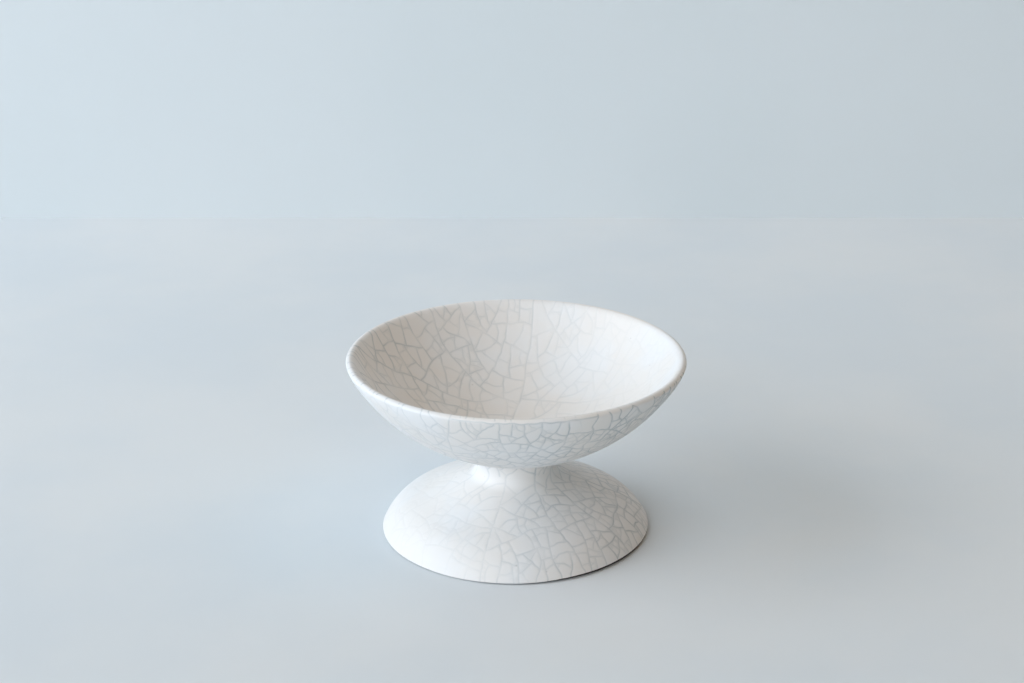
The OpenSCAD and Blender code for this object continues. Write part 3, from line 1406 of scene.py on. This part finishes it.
def make_clay(name, dark, pale, grit, roughness):
    material, tree, shader, place = new_material(name)
    tone = add_group(tree, tone_group, {"Place": place, "Scale": 60.0, "Color A": dark, "Color B": pale})
    grain = add_group(tree, grain_group, {
        "Place": place, "Grain Scale": 1500.0, "Speck Scale": 420.0, "Speck Size": 0.3,
    })
    rings = add_group(tree, ring_group, {"Place": place, "Spacing": 3.2 * mm})
    gritty = add_product(tree, grain["Specks"], grit_share)
    tree.links.new(add_mix(tree, gritty, tone["Color"], grit), shader.inputs["Base Color"])
    add_roughness(tree, shader, grain["Grain"], roughness, clay_roughness_swing)
    ring_height = add_product(tree, rings["Rings"], clay_ring_share)
    grain_height = add_product(tree, grain["Grain"], clay_grain_share)
    add_bump(tree, shader, add_math(tree, "ADD", ring_height, grain_height), clay_relief)
    shader.inputs["Specular IOR Level"].default_value = clay_shine
    return material


# Nearly black. The foot's glaze edge stands higher on the right, and the dark clay it uncovers there is
# partly painted shade.
clay = make_clay(
    "dark_clay", dark=(0.024, 0.019, 0.0155, 1), pale=(0.040, 0.032, 0.026, 1),
    grit=(0.09, 0.075, 0.06, 1), roughness=0.75,
)
slip = make_clay(
    "luting_slip", dark=(0.050, 0.042, 0.035, 1), pale=(0.070, 0.058, 0.048, 1),
    grit=(0.10, 0.085, 0.07, 1), roughness=0.68,
)
for node, material in (("bowl", clay), ("pedestal_foot", clay), ("slip_joint", slip)):
    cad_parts[node].data.materials.clear()
    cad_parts[node].data.materials.append(material)

# %% [markdown]
# ## Floor and wall
# The pot stands on a plain pale floor before a plain pale wall, two flat sheets that share one function. A
# curved backdrop would hide the line between the two, which the photograph shows. A real wall would cut
# off those parts of the large lamps that reach behind it, and hide the pot in views from the back. So the
# wall's material is clear to the rays that look for lamps and from its back, and is paint from the front.

# %% Floor and wall
sheet_half = 3.0
wall_y = 0.469
wall_height = 1.2
sheet_roughness = 0.9


def make_sheet(name, corners, colour_a, colour_b):
    """A flat painted sheet that only dresses the picture. Gives its material's tree and shader."""
    mesh = bpy.data.meshes.new(name)
    mesh.from_pydata(corners, [], [(0, 1, 2, 3)])
    sheet = bpy.data.objects.new(name, mesh)
    scene.collection.objects.link(sheet)
    material, tree, shader, place = new_material(name)
    tone = add_group(tree, tone_group, {
        "Place": place, "Scale": 6.0, "Color A": colour_a, "Color B": colour_b,
    })
    tree.links.new(tone["Color"], shader.inputs["Base Color"])
    shader.inputs["Roughness"].default_value = sheet_roughness
    mesh.materials.append(material)
    return tree, shader


floor_corners = [
    (-sheet_half, -sheet_half, 0), (sheet_half, -sheet_half, 0),
    (sheet_half, sheet_half, 0), (-sheet_half, sheet_half, 0),
]
wall_corners = [
    (-sheet_half, wall_y, 0), (sheet_half, wall_y, 0),
    (sheet_half, wall_y, wall_height), (-sheet_half, wall_y, wall_height),
]
make_sheet("floor", floor_corners, colour_a=(0.717, 0.773, 0.815, 1), colour_b=(0.762, 0.801, 0.826, 1))
wall_tree, wall_paint = make_sheet(
    "wall", wall_corners, colour_a=(0.755, 0.805, 0.825, 1), colour_b=(0.77, 0.815, 0.835, 1),
)
behind = wall_tree.nodes.new("ShaderNodeNewGeometry").outputs["Backfacing"]
lamp_ray = wall_tree.nodes.new("ShaderNodeLightPath").outputs["Is Shadow Ray"]
see_through = add_math(wall_tree, "MAXIMUM", behind, lamp_ray)
clear = wall_tree.nodes.new("ShaderNodeBsdfTransparent")
either_links = {0: see_through, 1: wall_paint.outputs[0], 2: clear.outputs[0]}
either = add_node(wall_tree, "ShaderNodeMixShader", either_links)
wall_tree.links.new(either.outputs[0], wall_tree.nodes["Material Output"].inputs["Surface"])

# %% [markdown]
# ## Light
# The photograph has soft daylight from the left and no hard shadow. One large lamp at the left and a wider
# one at the front left give the daylight, a faint one hangs overhead, and a weak warm one at the right
# stands for the rest of the room. A sky texture could light the pot too, but lamps can be set one by one.
# The world adds a little warm fill, and shows a plain pale surround to the camera and to reflections.

# %% Lamps
scene.view_settings.view_transform = "Standard"
aim = Vector((0, 0, 0.04))
daylight = (0.82, 0.90, 1.0)
ceiling_white = (0.94, 0.95, 0.95)
lamplight = (1.0, 0.48, 0.18)


def make_light(name, place, wide, tall, watts, colour):
    data = bpy.data.lights.new(name, "AREA")
    data.shape = "RECTANGLE"
    data.size = wide
    data.size_y = tall
    data.energy = watts
    data.color = colour
    light = bpy.data.objects.new(name, data)
    light.location = place
    light.rotation_mode = "QUATERNION"
    light.rotation_quaternion = (aim - Vector(place)).to_track_quat("-Z", "Y")
    scene.collection.objects.link(light)
    print(name, "gives", watts, "W")


make_light("side window", place=(-2.76, -0.29, 1.64), wide=2.0, tall=2.0, watts=48.0, colour=daylight)
make_light("front window", place=(-1.96, -2.33, 1.02), wide=4.0, tall=2.0, watts=75.0, colour=daylight)
make_light("ceiling", place=(0.0, 0.0, 3.24), wide=2.0, tall=2.0, watts=13.0, colour=ceiling_white)
make_light("warm room", place=(2.06, 0.0, 2.49), wide=2.0, tall=2.0, watts=8.5, colour=lamplight)

# %% Fill and surround
fill_colour = (1.0, 0.90, 0.58, 1)
fill_strength = 0.13
surround_colour = (0.80, 0.90, 1.0, 1)
surround_strength = 0.75

world = bpy.data.worlds.new("world")
world.use_nodes = True
sky_tree = world.node_tree
background = sky_tree.nodes["Background"]
ray = sky_tree.nodes.new("ShaderNodeLightPath").outputs
seen = add_math(sky_tree, "MAXIMUM", ray["Is Camera Ray"], ray["Is Glossy Ray"])
seen = add_math(sky_tree, "MAXIMUM", seen, ray["Is Transmission Ray"])
sky_colour = add_mix(sky_tree, seen, fill_colour, surround_colour)
sky_strength = add_product(sky_tree, seen, surround_strength - fill_strength)
sky_strength = add_math(sky_tree, "ADD", sky_strength, fill_strength)
sky_tree.links.new(sky_colour, background.inputs["Color"])
sky_tree.links.new(sky_strength, background.inputs["Strength"])
scene.world = world
print("fill", fill_strength, "surround", surround_strength)
